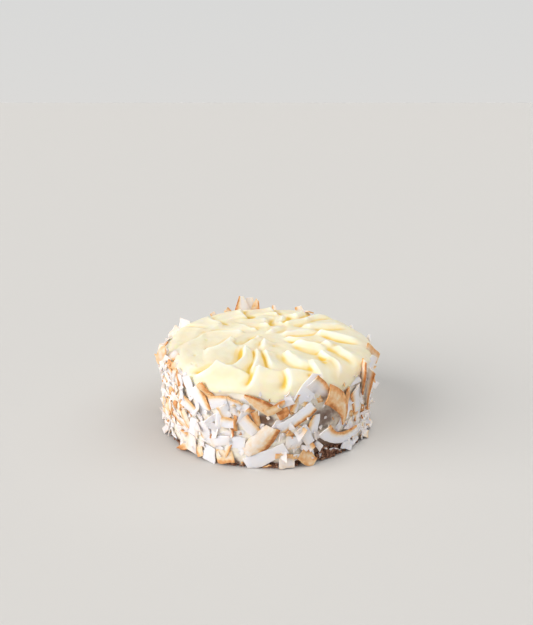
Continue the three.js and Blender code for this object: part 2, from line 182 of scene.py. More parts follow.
def setAttribute(piece, name, values):
    layer = piece.data.attributes.new(name, "FLOAT", "POINT")
    layer.data.foreach_set("value", np.clip(values, 0, 1))


def onCake(piece, nodes, material):
    piece.data.materials.append(material)
    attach(piece, "root")
    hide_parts(*nodes)


# Camera: a little above the cake, looking down on it at a slant
camera = dict(place=(-0.0004, -0.4327, 0.2224), down=18.3, lens=37.44, sensor=36)
lensData = bpy.data.cameras.new("camera")
lensData.lens = camera["lens"]
lensData.sensor_width = camera["sensor"]
view = linked("camera", lensData)
view.location = camera["place"]
view.rotation_euler = (radians(90 - camera["down"]), 0, 0)
bpy.context.scene.camera = view
print("camera set")

# Sizes that the pieces share, in mm
cake = dict(spongeRadius=71.5, spongeHeight=48, coatInner=71.8, coatRadius=73.6,
            edgeScallops=[(3, 2.4, -50), (10, 2.2, 24)], dipBearing=40, dipSpread=12, dipDepth=2.6)

# Cream top, worked with a palette knife. sways and drifts keep its strokes from being quite straight:
# size, waves round the cake, slant and start. hollows: how far round a spot to look, and its share.
# bubbles burst in it, and pockets were left where the knife lifted off: bearing, run, width and depth.
cream = dict(plateauRadius=60, plateauHeight=61.3, domeRise=1.6, shoulderWidth=14.3, edge=50.5, lip=1.2,
             lipSteps=6, lipTurn=150, tuckIn=8, tuckUp=3, columns=520, rowStep=0.56,
             steady=(8, 30), fading=70, gone=79.5, softness=0.7,
             waver=0.35, waverSize=11.0, waverFrom=(2, 10),
             sways=[(1.3, 5, 7.2, 0), (0.9, 11, -9.5, 40)],
             drifts=[(0.8, 7, -4.5, 60), (0.55, 13, 9.5, 0)],
             # hollows, hollowDepth and ridgeHeight shape the masks for painted shade in the grooves and
             # a painted highlight on the crests
             hollows=[(3.2, 0.65), (6.5, 0.4)], hollowDepth=(0.15, 1.6), ridgeHeight=(0.2, 1.4),
             bubbles=[(-54, 59, 1.0, 0.8), (-45, 67, 0.9, 0.8), (-42, 66, 1.1, 0.8), (-78, 43, 0.8, 0.8),
                      (12, 22, 0.8, 0.8), (75, 48, 0.9, 0.8)],
             pockets=[(-162, 44.4, 4.2, 3.0), (-126, 40.2, 2.8, 2.2), (177, 24.6, 3.0, 2.6),
                      (157, 30.8, 3.2, 2.2), (172, 52.8, 4.0, 2.4), (-146, 15.6, 2.6, 1.6),
                      (-52, 12.4, 2.2, 1.6), (38, 58.7, 2.8, 1.8), (64, 50.6, 2.8, 1.8),
                      (23, 67.2, 2.2, 1.5)])
# Each petal is one stroke: run of its inner and outer end from the middle, bearing of its groove at the
# inner end, half way and at the outer end, width of the steep face between groove and crest, degrees
# that it covers, height of the crest, depth of the groove, and how far its lip draws back from the
# crest to the far side.
petals = [
    (4, 25, 120, 130, 140, 6, 50, 1.9, 0.8, 4),
    (7, 30, -66, -50, -44, 4, 46, 1.8, 1.2, 4),
    (12, 34, -146, -146, -148, 4, 44, 2.0, 1.6, 5),
    (12, 39, 78, 90, 97, 7, 38, 2.6, 1.6, 5),
    (14, 33, -16, -13, -12, 4, 42, 3.2, 0.5, 6),
    (16, 36, 48, 56, 66, 6, 32, 2.3, 1.4, 5),
    (18, 43, 172, 175, 177, 5, 44, 2.4, 2.2, 6),
    (18, 47, -112, -108, -106, 6, 44, 2.2, 1.4, 8),
    (26, 60, -74, -57, -66, 4, 36, 3.4, 2.2, 9),
    (25, 49, 150, 156, 160, 5, 18, 2.2, 2.0, 4),
    (25, 53, 138, 131, 128, 8, 22, 2.4, 1.5, 5),
    (33, 64, 110, 108, 104, 8, 26, 2.9, 1.6, 6),
    (26, 55, 40, 43.5, 47, 9, 30, 3.9, 1.5, 6),
    (37, 68, 88, 82, 78, 8, 26, 3.5, 1.8, 6),
    (37, 64, 14, 17, 23, 7, 28, 3.2, 1.4, 6),
    (31, 60, -5.5, -2.6, 1.9, 2.8, 17, 2.4, 2.2, 6),
    (31, 71, -15.5, -12, -6.5, 2.6, 10, 2.5, 2.4, 4),
    (29, 71, -31.5, -23.5, -37.5, 2.8, 12, 2.9, 2.4, 4),
    (39, 69, -128, -133, -140, 5, 34, 2.0, 2.0, 6),
    (43, 71, -162, -163, -164, 4, 32, 2.9, 2.5, 5),
    (42, 73, 58, 53, 52, 8, 26, 3.6, 1.7, 5),
    (45, 71, 133, 133, 130, 8, 16, 2.2, 1.4, 4),
    (47, 72, 170, 172, 172, 4, 24, 2.7, 2.2, 5),
    (45, 75, 148, 148, 147, 7, 22, 2.8, 1.8, 5),
    (44, 78, -96, -74, -58, 9, 38, 1.3, 0.5, 8),
    (48, 76, -110, -114, -120, 7, 36, 1.2, 1.2, 8),
    (48, 76, 44, 38.5, 37, 4.5, 16, 2.9, 2.1, 6),
    (56, 79, 28, 24, 20, 3.2, 18, 2.6, 1.7, 4),
    (61, 80, 9.5, 8.5, 7, 2.8, 20, 2.7, 2.3, 4),
    (58, 80, -6, -7, -15.5, 2.8, 17, 2.8, 2.3, 5),
    (58, 79, -36.5, -37, -49, 3.6, 31, 3.4, 2.4, 8),
]
# What all strokes share: how far before and beside itself one still shows, how its face widens from
# the inner end, shares of the crest's height or the groove's depth, and the runs over which it starts
# and ends
stroke = dict(before=12, beside=60, leastRun=3, leastSpan=4, faceStart=0.5, faceGrowth=1.3, lipCurve=1.6,
              crestCurve=1.2, fall=0.55, scoop=0.35, farSide=0.35, raisedLip=0.3, raisedWidth=4,
              digStart=(-1, 8), digEnd=9, layEnd=10, bank=(2.6, 6), faceAndBank=9, lipSoftness=0.42)
shoulderDrop = cream["plateauHeight"] - cream["edge"]
shoulderRun = pi / 2 * np.hypot(cream["shoulderWidth"], shoulderDrop) / 2 ** 0.5
topRun = cream["plateauRadius"] + shoulderRun  # from the middle to the lower edge along the surface


def waves(bearing, run, rows):
    return sum(size * sine(count * bearing + slant * run + start) for size, count, slant, start in rows)


def petalLift(bearing, run):
    loose = smoothStep(run, *cream["steady"])
    swayed = bearing + waves(bearing, run, cream["sways"]) * loose
    drifted = run + waves(bearing, run, cream["drifts"]) * loose
    lift = np.zeros_like(run)
    for inner, outer, first, middle, last, face, span, height, depth, arch in petals:
        ahead = wrapped(swayed - middle)
        inReach = (drifted > inner - stroke["before"]) & (drifted < outer)
        near = np.flatnonzero(inReach & (ahead > -stroke["beside"]) & (ahead < span + stroke["beside"]))
        r = drifted[near]
        perDegree = np.radians(1) * np.maximum(r, stroke["leastRun"])
        share = np.clip((r - inner) / (outer - inner), 0, 1)
        ends = first * (1 - share) * (1 - 2 * share) + last * share * (2 * share - 1)
        groove = ends + 4 * middle * share * (1 - share)
        off = wrapped(swayed[near] - groove) * perDegree  # mm past the groove
        slope = face * np.minimum(1, stroke["faceStart"] + stroke["faceGrowth"] * share)
        across = np.clip((off - slope) / np.maximum(span * perDegree - slope, stroke["leastSpan"]), 0, 1)
        lip = inner + arch * across ** stroke["lipCurve"]
        out = np.clip((r - lip) / (outer - lip), 0, 1)
        own = height * (1 - across) ** stroke["crestCurve"] * (1 - stroke["fall"] * out)
        own -= stroke["scoop"] * height * np.sin(pi * across ** 0.8) * np.sin(pi * out ** 0.7)
        own -= stroke["farSide"] * depth * smoothStep(across, 0.5, 1)
        fromLip = (r - lip) / stroke["raisedWidth"]
        own += stroke["raisedLip"] * height * (1 - across) ** 2 * np.exp(-fromLip ** 2)
        starts, begun = stroke["digStart"]
        reach = smoothStep(r, inner + starts, inner + begun)
        reach *= 1 - smoothStep(r, outer - stroke["digEnd"], outer)
        bank = np.clip(stroke["faceAndBank"] - face, *stroke["bank"])  # broad before a narrow face
        upFace = smoothStep(off / slope, 0, 1)
        dug = depth * reach * np.where(off > 0, 1 - upFace, np.exp(-(off / bank) ** 2))
        laid = upFace * smoothStep((r - lip) / (1 + stroke["lipSoftness"] * slope), -1.2, 1)
        laid *= (1 - smoothStep(across, 0.8, 1)) * (1 - smoothStep(r, outer - stroke["layEnd"], outer))
        before = lift[near] - dug
        lift[near] = before + (own - before) * laid
    return lift * (1 - smoothStep(run, cream["fading"], cream["gone"]))


def softLift(bearing, run):  # the knife leaves no edge sharper than about a millimetre
    spread = cream["softness"]
    swing = np.degrees(spread / np.maximum(run, 4))
    return sum(petalLift(bearing + a * swing, np.abs(run + b * spread))
               for a in (-1, 0, 1) for b in (-1, 0, 1)) / 9


def makeCream():
    lipSteps = cream["lipSteps"]
    runs = list(np.linspace(0, topRun, round(topRun / cream["rowStep"])))
    runs += [topRun + i + 1 for i in range(lipSteps)]
    piece = spunPiece("swirled_cream", [(run, 0) for run in runs], cream["columns"])
    flat = points(piece)
    run = np.hypot(flat[:, 0], flat[:, 1])
    bearing = bearings(flat)
    onTop = np.minimum(run, topRun)
    lift = softLift(bearing, onTop)
    lift += cream["waver"] * speckle(flat, cream["waverSize"]) * smoothStep(onTop, *cream["waverFrom"])
    for at, out, wide, deep in cream["bubbles"] + cream["pockets"]:
        aside = np.radians(wrapped(bearing - at)) * out
        lift -= deep * np.exp(-(aside ** 2 + (onTop - out) ** 2) / wide ** 2)
    # a spot is hollow where the cream round it stands higher, and a ridge where it stands lower: the
    # hollows get painted shade and the ridges a painted highlight
    round8 = [(sine(a), cosine(a)) for a in range(0, 360, 45)]
    hollow = ridge = 0
    for reach, share in cream["hollows"]:
        swing = np.degrees(reach / np.maximum(onTop, 5))
        about = sum(petalLift(bearing + s * swing, np.abs(onTop + reach * c)) for s, c in round8)
        about = about / len(round8)
        hollow = hollow + share * smoothStep(about - lift, *cream["hollowDepth"])
        ridge = ridge + share * smoothStep(lift - about, *cream["ridgeHeight"])
    edge = edgeHeight(bearing)
    drop = cream["plateauHeight"] - edge
    turn = np.clip((onTop - cream["plateauRadius"]) / shoulderRun, 0, 1) * 90
    outwards, upwards = sine(turn) / cream["shoulderWidth"], cosine(turn) / drop
    unit = np.hypot(outwards, upwards)
    isShoulder = run > cream["plateauRadius"]
    shoulder = cream["plateauRadius"] + cream["shoulderWidth"] * sine(turn) + lift * outwards / unit
    radius = np.where(isShoulder, shoulder, run)
    dome = cream["plateauHeight"] + cream["domeRise"] * (1 - (run / cream["plateauRadius"]) ** 2)
    height = np.where(isShoulder, edge + drop * cosine(turn) + lift * upwards / unit, dome + lift)
    under = np.maximum(run - topRun, 0)  # the lip rounds under, then the underside runs inwards
    lipTurn = np.clip(under / (lipSteps - 1), 0, 1) * cream["lipTurn"]
    isLip = under > 0.5
    edgeRadius = cream["plateauRadius"] + cream["shoulderWidth"]
    radius = np.where(isLip, edgeRadius - cream["lip"] * (1 - cosine(lipTurn)), radius)
    height = np.where(isLip, edge - cream["lip"] * sine(lipTurn), height)
    isLast = under > lipSteps - 0.5
    radius = np.where(isLast, cake["spongeRadius"] - cream["tuckIn"], radius)
    height = np.where(isLast, cream["edge"] + cream["tuckUp"], height)
    setRound(piece, radius, bearing, height)
    setAttribute(piece, "hollow", hollow)
    setAttribute(piece, "ridge", ridge)
    return piece


# Butter cream: whipped fat and sugar with egg yolk, smeared with a knife. Satin and pale yellow on the
# open surface. A painted highlight turns the crests nearly white, and painted shade turns the grooves a
# deep egg yellow, standing in for the light going to and fro in the cream.
def makeCreamMaterial():
    material, tree = newMaterial("butter_cream")
    coords = addNode(tree, "ShaderNodeTexCoord")
    hollow = addNode(tree, "ShaderNodeAttribute", {"attribute_name": "hollow"})
    ridge = addNode(tree, "ShaderNodeAttribute", {"attribute_name": "ridge"})
    patches = addNode(tree, "ShaderNodeTexNoise", None,
                      {"Vector": (coords, "Object"), "Scale": 1 / (14 * mm), "Detail": 2})
    tone = addNode(tree, "ShaderNodeValToRGB", {"stops": [(0.3, "#FBF1D7"), (0.7, "#F8E8C5")]},
                   {"Fac": (patches, "Fac")})
    # painted highlight: the ridges are mixed towards near white; painted shade: the hollows towards deep
    # egg yellow
    crest = addNode(tree, "ShaderNodeMix", {"data_type": "RGBA"},
                    {0: (ridge, "Fac"), 6: (tone, "Color"), 7: toLinear("#FFF9E8")})
    colour = addNode(tree, "ShaderNodeMix", {"data_type": "RGBA"},
                     {0: (hollow, "Fac"), 6: (crest, 2), 7: toLinear("#F3CF54")})
    grain = addNode(tree, "ShaderNodeTexNoise", None,
                    {"Vector": (coords, "Object"), "Scale": 1 / (1.1 * mm), "Detail": 3})
    bump = addNode(tree, "ShaderNodeBump", None,
                   {"Strength": 0.12, "Distance": 0.3 * mm, "Height": (grain, "Fac")})
    gloss = addNode(tree, "ShaderNodeMapRange", None,
                    {"Value": (patches, "Fac"), "To Min": 0.38, "To Max": 0.52})
    shader = addNode(tree, "ShaderNodeBsdfPrincipled", None, {
        "Base Color": (colour, 2), "Roughness": (gloss, "Result"), "IOR": 1.45,
        "Subsurface Weight": 0.6, "Subsurface Radius": (1.0, 0.8, 0.3), "Subsurface Scale": 4.5 * mm,
        "Normal": (bump, "Normal")})
    addNode(tree, "ShaderNodeOutputMaterial", None, {"Surface": (shader, "BSDF")})
    return material


onCake(makeCream(), ["cream_top"], makeCreamMaterial())
print("cream top made")

# Sponge: a plain brown cake whose crumb shows round the foot
sponge = dict(columns=420, ring=40, upperRows=[18, 28, 38], crumbTop=14, crumbStep=0.7, crumbSize=2.4,
              crumbDepth=1.1)


def makeSponge():
    crumbRows = [i * sponge["crumbStep"] for i in range(round(sponge["crumbTop"] / sponge["crumbStep"]))]
    top = cake["spongeHeight"]
    side = [(cake["spongeRadius"], z) for z in crumbRows + sponge["upperRows"] + [top]]
    profile = [(0, 0), (sponge["ring"], 0)] + side + [(sponge["ring"], top), (0, top)]
    piece = spunPiece("brown_sponge", profile, sponge["columns"])
    places = points(piece)
    radius = np.hypot(places[:, 0], places[:, 1])
    crumb = speckle(places, sponge["crumbSize"], 3)
    isFoot = (radius > sponge["ring"] + 1) & (places[:, 2] < sponge["crumbTop"])
    radius = radius - np.where(isFoot, sponge["crumbDepth"] * np.clip(0.5 + crumb, 0, 1.4), 0)
    setRound(piece, radius, bearings(places), places[:, 2])
    return piece


# Baked sponge: open brown crumb with darker pores, quite dry, so no gloss
def makeSpongeMaterial():
    material, tree = newMaterial("baked_sponge")
    coords = addNode(tree, "ShaderNodeTexCoord")
    crumb = addNode(tree, "ShaderNodeTexNoise", None,
                    {"Vector": (coords, "Object"), "Scale": 1 / (2.2 * mm), "Detail": 4})
    pores = addNode(tree, "ShaderNodeTexVoronoi", None,
                    {"Vector": (coords, "Object"), "Scale": 1 / (1.8 * mm)})
    tone = addNode(tree, "ShaderNodeValToRGB",
                   {"stops": [(0.3, "#5E3E2F"), (0.52, "#8A614B"), (0.75, "#B58C70")]},
                   {"Fac": (crumb, "Fac")})
    height = addNode(tree, "ShaderNodeMath", {"operation": "ADD"},
                     {0: (crumb, "Fac"), 1: (pores, "Distance")})
    bump = addNode(tree, "ShaderNodeBump", None,
                   {"Strength": 0.8, "Distance": 0.8 * mm, "Height": (height, "Value")})
    shader = addNode(tree, "ShaderNodeBsdfPrincipled", None, {
        "Base Color": (tone, "Color"), "Roughness": 0.9, "IOR": 1.4, "Normal": (bump, "Normal")})
    addNode(tree, "ShaderNodeOutputMaterial", None, {"Surface": (shader, "BSDF")})
    return material


bakedSponge = makeSpongeMaterial()
onCake(makeSponge(), ["sponge"], bakedSponge)
print("sponge made")

# Crumbs that cling round the foot: middle bearing, spread, count and highest place of each group
crumbs = dict(size=(0.4, 1.2), radius=73.0, standOff=0.8, lowest=0.9, crowding=1.5, ground=0.2,
              groups=[(35, 17, 190, 10), (-30, 22, 120, 3), (5, 14, 60, 3), (110, 60, 90, 3),
                      (-120, 60, 90, 3)])


def makeCrumbs():
    lump = bmesh.new()
    bmesh.ops.create_icosphere(lump, subdivisions=1, radius=1)
    corners, faces = cornersAndFaces(lump)
    bearing, height = [], []
    for number, (middle, spread, count, high) in enumerate(crumbs["groups"]):
        item = np.arange(count) + 300 * number
        bearing.append(middle + spread * (draw(item, 41) + draw(item, 42) - 1) * crumbs["crowding"])
        height.append(between((crumbs["lowest"], high), draw(item, 43) ** 1.5))
    bearing, height = np.concatenate(bearing)[:, None], np.concatenate(height)[:, None]
    item = np.arange(len(bearing))[:, None]
    bumpy = 0.65 + 0.7 * draw(item * 61 + np.arange(len(corners))[None, :], 45)
    size = between(crumbs["size"], draw(item, 44)) * bumpy
    aside = size * corners[None, :, 0]
    out = crumbs["radius"] + crumbs["standOff"] * draw(item, 46) + size * corners[None, :, 1]
    up = np.maximum(height + size * corners[None, :, 2], crumbs["ground"])
    places = np.stack([aside * cosine(bearing) + out * sine(bearing),
                       aside * sine(bearing) - out * cosine(bearing), up], axis=-1)
    return copiesPiece("sponge_crumbs", places, faces[:, ::-1])  # aside, out and up mirror the lump


onCake(makeCrumbs(), ["sponge"], bakedSponge)
print("crumbs made")

# Cream smeared thinly round the side, with the sponge showing through in places. Spots where it is thin
# or shaded: bearing, height, half width in degrees, half height and amount; the one at bearing 29,
# beside the big curl, is partly painted shade.
sideCream = dict(foot=2.6, footScallops=[(5, 1, 10), (9, 0.8, 34)], lowestFoot=0.4, under=0.6,
                 bareBearing=33, bareSpread=13, bareRise=6, columns=360, rows=44,
                 rag=2.4, ragLength=5.0, smear=0.7, smearLength=16, smearHeight=3.5, perDegree=1.29,
                 scraped=0.9, scrapedFoot=2.5,
                 thinAndShadedSpots=[(-1, 34, 5, 5, 0.8), (29, 31, 10, 9, 0.62), (27, 12, 14, 6, 0.7),
                            (-20, 26, 9, 4, 0.25)])


def makeSideCream():
    rows = sideCream["rows"]
    profile = [(cake["coatInner"], 1.0), (cake["coatInner"], 0.0)]  # height as a share for now
    profile += [(cake["coatRadius"], i / (rows - 1)) for i in range(rows)]
    piece = spunPiece("side_cream", profile, sideCream["columns"], closed=True)
    places = points(piece)
    radius = np.hypot(places[:, 0], places[:, 1])
    bearing = bearings(places)
    fromBare = wrapped(bearing - sideCream["bareBearing"]) / sideCream["bareSpread"]
    none = np.zeros(len(bearing))
    ragged = speckle(np.column_stack([bearing, none, none]), sideCream["ragLength"], 3)
    foot = sideCream["foot"] + scalloped(bearing, sideCream["footScallops"])
    foot = foot + sideCream["bareRise"] * np.exp(-fromBare ** 2) + sideCream["rag"] * ragged
    foot = np.maximum(foot, sideCream["lowestFoot"])
    head = edgeHeight(bearing) - sideCream["under"]
    height = between((foot, head), places[:, 2])
    along = bearing * sideCream["perDegree"] / sideCream["smearLength"]
    smear = speckle(np.column_stack([along, height / sideCream["smearHeight"], none]), 1, 3)
    thin = none.copy()
    for at, z, wide, high, amount in sideCream["thinAndShadedSpots"]:
        thin += amount * np.exp(-(wrapped(bearing - at) / wide) ** 2 - ((height - z) / high) ** 2)
    outside = radius > cake["coatInner"] + 0.5
    relief = sideCream["smear"] * smear - sideCream["scraped"] * np.clip(thin, 0, 1)
    setRound(piece, radius + np.where(outside, relief, 0), bearing, height)
    thin += 0.5 * np.exp(-((height - foot) / sideCream["scrapedFoot"]) ** 2)  # scraped thin at the foot
    # this darkens the cream: sponge showing through where it is thin, and painted shade on the patch
    # beside the big curl
    setAttribute(piece, "thin", thin + 0.25 * np.clip(-smear, 0, 1))
    return piece


# The same cream smeared thin over crumbs: duller, brown where it is thinnest. Its grey middle tone is
# partly the sponge showing through and partly painted shade, as on the patch beside the big curl.
def makeSideMaterial():
    material, tree = newMaterial("smeared_cream")
    coords = addNode(tree, "ShaderNodeTexCoord")
    thin = addNode(tree, "ShaderNodeAttribute", {"attribute_name": "thin"})
    streaks = addNode(tree, "ShaderNodeTexNoise", None,
                      {"Vector": (coords, "Object"), "Scale": 1 / (3.5 * mm), "Detail": 4})
    shown = addNode(tree, "ShaderNodeMath", {"operation": "MULTIPLY_ADD"},
                    {0: (streaks, "Fac"), 1: 0.5, 2: -0.25})
    amount = addNode(tree, "ShaderNodeMath", {"operation": "ADD", "use_clamp": True},
                     {0: (thin, "Fac"), 1: (shown, "Value")})
    tone = addNode(tree, "ShaderNodeValToRGB",
                   {"stops": [(0.0, "#F4EEDF"), (0.25, "#E2D9C9"), (0.5, "#907E73"), (0.75, "#7A5A44"),
                              (1.0, "#4E3022")]},
                   {"Fac": (amount, "Value")})
    bump = addNode(tree, "ShaderNodeBump", None,
                   {"Strength": 0.5, "Distance": 0.8 * mm, "Height": (streaks, "Fac")})
    shader = addNode(tree, "ShaderNodeBsdfPrincipled", None, {
        "Base Color": (tone, "Color"), "Roughness": 0.55, "IOR": 1.45, "Subsurface Weight": 0.15,
        "Subsurface Radius": (1.0, 0.7, 0.4), "Subsurface Scale": 1.5 * mm, "Normal": (bump, "Normal")})
    addNode(tree, "ShaderNodeOutputMaterial", None, {"Surface": (shader, "BSDF")})
    return material


onCake(makeSideCream(), ["coconut_coat"], makeSideMaterial())
print("side cream made")

# Coconut chips. The ones that stand out are listed one by one: bearing, height, length, width, turn of
# the length from level, lean of the top outwards, swing of the right edge inwards, how far it stands
# off, curl of the ends towards the cake, hook in the chip's own plane, roll across its width, taper of
# its right end, toast all over, on its lower edge and on its upper edge.
chipFields = ["bearing", "height", "length", "width", "turn", "lean", "yaw", "stand", "curl", "hook",
              "roll", "tip", "toast", "lowEdge", "highEdge"]
chosenChips = [
    (-3, 19, 26, 14, 54, 4, 0, 2.6, 15, 0, 65, 0.1, 0.18, 1.6, 0.05),
    (-0.5, 8.5, 28, 9.5, 27, 2, 0, 1.2, 8, 0, 0, 0.15, 0, 0.05, 0),
    (14.4, 33.5, 26.5, 8.5, 35, 4, 0, 1.6, 12, -8, 14, 0.1, 0, 1.2, 0),
    (19.7, 53, 22, 12, 62, 5, 0, 1.8, 15, 0, 0, 0.45, 0, 0, 0),
    (26, 52.5, 18, 10, -46, 12, 0, 2.4, 20, 10, 25, 0.3, 0.05, 0.05, 0.7),
    (38, 37.4, 32, 12.5, -60, 3, 0, 4, 20, 70, 30, 0.8, 0.36, 0.5, 0.45),
    (43, 39.5, 15, 6, 84, 6, 20, 2.5, 20, 0, 30, 0.15, 0.42, 0.4, 0.3),
    (38.4, 13.5, 35, 8.5, -17, 10, 0, 2.2, 20, -80, 0, 0.15, 0, 0, 0.8),
    (52, 32, 26, 8.5, -74, 4, 0, 0.8, -20, 25, 0, 0.15, 0, 0.85, 0),
    (56, 49, 24, 8, -84, 0, 45, 2.6, 0, 0, 0, 0.15, 0.1, 0.85, 0.5),
    (63.4, 36, 30, 7, -81, 0, 50, 2.6, -15, 0, 0, 0.15, 0.05, 0.7, 0),
    (-33.8, 42.5, 18, 10.5, -57, 4, 0, 2, 10, 0, 10, 0.15, 0, 0, 0.8),
    (-31.5, 48.5, 12, 7, -42, 14, 0, 2.2, 30, 0, 70, 0.15, 0.36, 0.2, 0.45),
    (-4.2, 45.5, 20, 9, 144, 12, 0, 1.8, 15, -15, 20, 0.75, 0.3, 0.95, 0.1),
    (2.6, 41, 10.5, 5.5, 26, 6, 0, 1.4, 0, 0, 0, 0.15, 0.3, 0.1, 0.3),
    (7.7, 38.5, 8, 7, 22, 0, 0, 1.2, 0, 0, 0, 0.15, 0.72, 0.1, 0.1),
    (-4.8, 34.5, 11, 4, -73, 4, 20, 1.8, 40, 0, 80, 0.15, 0.35, 0.6, 0.3),
    (-11.7, 41, 9, 7, 8, 4, 0, 1.2, 0, 0, 0, 0.15, 0, 0.3, 0),
    (-18.6, 30.5, 10.5, 7.5, 1, 6, 0, 1.6, 0, 0, 0, 0.15, 0, 0, 0.55),
    (-8.3, 29.7, 14.5, 8.5, -49, 2, 0, 1.6, 8, 0, 0, 0.15, 0.02, 0, 0.5),
    (-14.6, 17.5, 10.5, 8.5, 6, 2, 0, 1.2, 0, 0, 0, 0.15, 0, 0, 0),
    (-23, 17, 15, 7, 18, 2, 0, 1.4, 5, 0, 0, 0.15, 0, 0.1, 0),
    (-23.5, 32, 11, 5, 88, 4, 15, 1.6, 0, 0, 0, 0.15, 0, 0.2, 0),
    (-20.2, 38, 9.5, 8, -70, 6, 10, 1.8, 0, 0, 0, 0.15, 0.02, 0.4, 0),
    (-15.5, 39, 9, 6, -50, 4, 0, 1.4, 0, 0, 0, 0.15, 0.05, 0.1, 0.45),
    (-23.8, 44, 13, 8.5, 15, 6, 0, 1.8, 0, 0, 0, 0.15, 0, 0, 0.5),
    (-20.9, 6.2, 11.5, 9, 10, -12, 0, 1.8, 15, 0, 0, 0.15, 0.25, 0.55, 0.1),
    (9.5, 4.6, 10, 8, -6, -14, 0, 1.8, 0, 0, 0, 0.15, 0.1, 0.1, 0.1),
    (20, 5.4, 12, 9, -44, -12, 0, 1.8, 0, 0, 0, 0.15, 0.36, 0.2, 0.2),
    (12.7, 17.4, 10, 8.5, -8, 2, 0, 1.4, 12, 0, 0, 0.15, 0.03, 0.2, 0),
    (19, 21.5, 14, 7.5, -62, 2, 0, 1.5, 0, 0, 0, 0.15, 0, 0.15, 0),
    (23, 28.5, 13, 7, 75, 4, 0, 1.6, 12, 0, 0, 0.15, 0, 0, 0.6),
    (9.2, 9, 14, 3, -8, 0, 0, 2, 0, 15, 0, 0.15, 0.3, 0.2, 0.2),
    (-48.2, 45.8, 18, 8, 89, 4, -10, 2, 0, 0, 0, 0.15, 0, 0, 0.4),
    (-41.4, 48.5, 14, 8, -76, 6, 0, 1.8, 0, 0, 0, 0.15, 0, 0, 0),
    (-41.6, 34.5, 14, 8, -25, 6, 0, 1.8, 0, 0, 0, 0.15, 0, 0, 0.5),
    (-44.6, 24, 13, 5.5, -60, 4, 0, 1.8, 10, 0, 0, 0.15, 0.2, 0.5, 0),
    (-39, 21, 14, 8, 75, 6, 0, 1.8, 0, 0, 0, 0.15, 0, 0.2, 0),
    (-32.5, 21.5, 12, 9, -70, 6, 0, 1.8, 0, 0, 0, 0.15, 0.02, 0.35, 0),
    (-41, 8.5, 12, 9.5, 87, -4, 0, 2, 0, 0, 0, 0.15, 0.06, 0.1, 0.2),
    (-29.4, 5.6, 10, 9, 88, -10, 0, 2, 0, 0, 0, 0.15, 0, 0, 0),
    (-36, 5.2, 8, 7, -52, -12, 0, 2, 0, 0, 0, 0.15, 0.3, 0.4, 0),
    (45, 5.4, 11, 7, -32, -8, 0, 1.8, 0, 0, 0, 0.15, 0, 0, 0),
    (46.4, 18.2, 9, 6.5, -38, 4, 0, 1.6, 0, 0, 0, 0.15, 0, 0, 0.1),
    # round the rim
    (195.5, 57, 25, 15, 86, 4, 0, 1.2, 0, 0, 15, 0.6, 0, 0.9, 0.1),
    (191, 56.5, 22, 10, 92, 6, 0, 2.2, 15, 0, 0, 0.45, 0.05, 0.1, 0.1),
    (187.5, 56, 20, 9, 102, 6, 0, 1.2, 30, 0, 20, 0.55, 0.25, 0.1, 0.6),
    (-119, 53.2, 19, 12, 82, 0, 84, -0.6, 0, 0, 0, 0.1, 0, 0, 0.1),
    (-111, 53, 13, 10, 60, 0, 80, 0.4, 0, 0, 0, 0.1, 0.05, 0.15, 0.1),
    (-104, 48.5, 10, 7, 50, 10, 0, 1, 0, 0, 0, 0.15, 0.5, 0.3, 0.3),
    (-71, 56.5, 16, 8.5, 63, 18, 45, 2.2, 20, 60, 0, 0.4, 0.24, 0.25, 0.1),
    (-66, 53, 12, 8, 70, -4, 30, 0.9, 0, 0, 0, 0.15, 0.03, 0.1, 0.1),
    (158, 54, 16, 8, 70, 0, 0, 1.2, 20, 0, 0, 0.15, 0.1, 0.5, 0),
    (97, 53.5, 10, 8, 60, 10, 0, 0.9, 0, 0, 0, 0.15, 0, 0.1, 0),
    (80, 52.5, 15, 10, -35, 0, -50, 1, 20, 0, 0, 0.15, 0.24, 0.15, 0.3),
    (73, 49, 13, 10, 60, 8, -30, 0.8, 0, 0, 0, 0.15, 0, 0.1, 0),
    (76, 33, 9, 6, -30, 0, -45, 3, 0, 0, 0, 0.15, 0, 0.1, 0),
    (118, 51, 13, 6, 60, 4, 0, 1.2, 0, 0, 0, 0.15, 0, 0.1, 0),
    (-147, 52, 14, 6, 70, 20, 0, 2, 0, 0, 0, 0.15, 0.12, 0.3, 0),
    (-157, 53.5, 14, 7, 60, 20, 0, 2, 0, 0, 0, 0.3, 0.15, 0.1, 0.5),
    (175, 54, 13, 6, 80, 20, 0, 2, 0, 0, 0, 0.4, 0.1, 0.5, 0),
    (-80, 54, 13, 9, 75, 0, 40, 1, 0, 0, 0, 0.15, 0.05, 0.1, 0.15),
    (-16.3, 43.8, 11, 7, -14, 6, 0, 1.6, 0, 0, 0, 0.15, 0, 0, 0.5),
    (-15.2, 31, 10.5, 2.4, 89, 4, 10, 2, 0, 0, 0, 0.1, 0.6, 0.2, 0.2),
]
# Two more lie on the cream top
creamChips = [
    (-64, 59.6, 6, 12, 85, -60, 0, -4.1, 0, 0, 25, 0.1, 0.06, 0.5, 0),
    (150, 62.2, 6, 9, 100, -72, 0, -10, 0, 0, 20, 0.2, 0.05, 0.1, 0.4),
]
# Places on the side that stay bare of scattered chips: bearing, height, half width, half height
barePatches = [(31, 31, 8, 10), (33, 5, 13, 5), (-1, 35, 4, 4), (38, 49, 10, 5), (-12, 3.5, 6, 4)]
# Kinds of plate: cells along and across it, thickness in mm, slant of the cut ends
plates = dict(
    long=dict(along=[-0.5, -0.44, -0.33, -0.2, -0.07, 0.07, 0.2, 0.33, 0.44, 0.5],
              across=[-0.5, -0.41, -0.2, 0, 0.2, 0.41, 0.5], thick=0.9, slant=0.22),
    small=dict(along=[-0.5, -0.36, 0, 0.36, 0.5], across=[-0.5, -0.3, 0.3, 0.5], thick=0.8, slant=0.6),
    shred=dict(along=[-0.5, -0.2, 0.2, 0.5], across=[-0.5, 0.5], thick=0.7, slant=0.5),
)
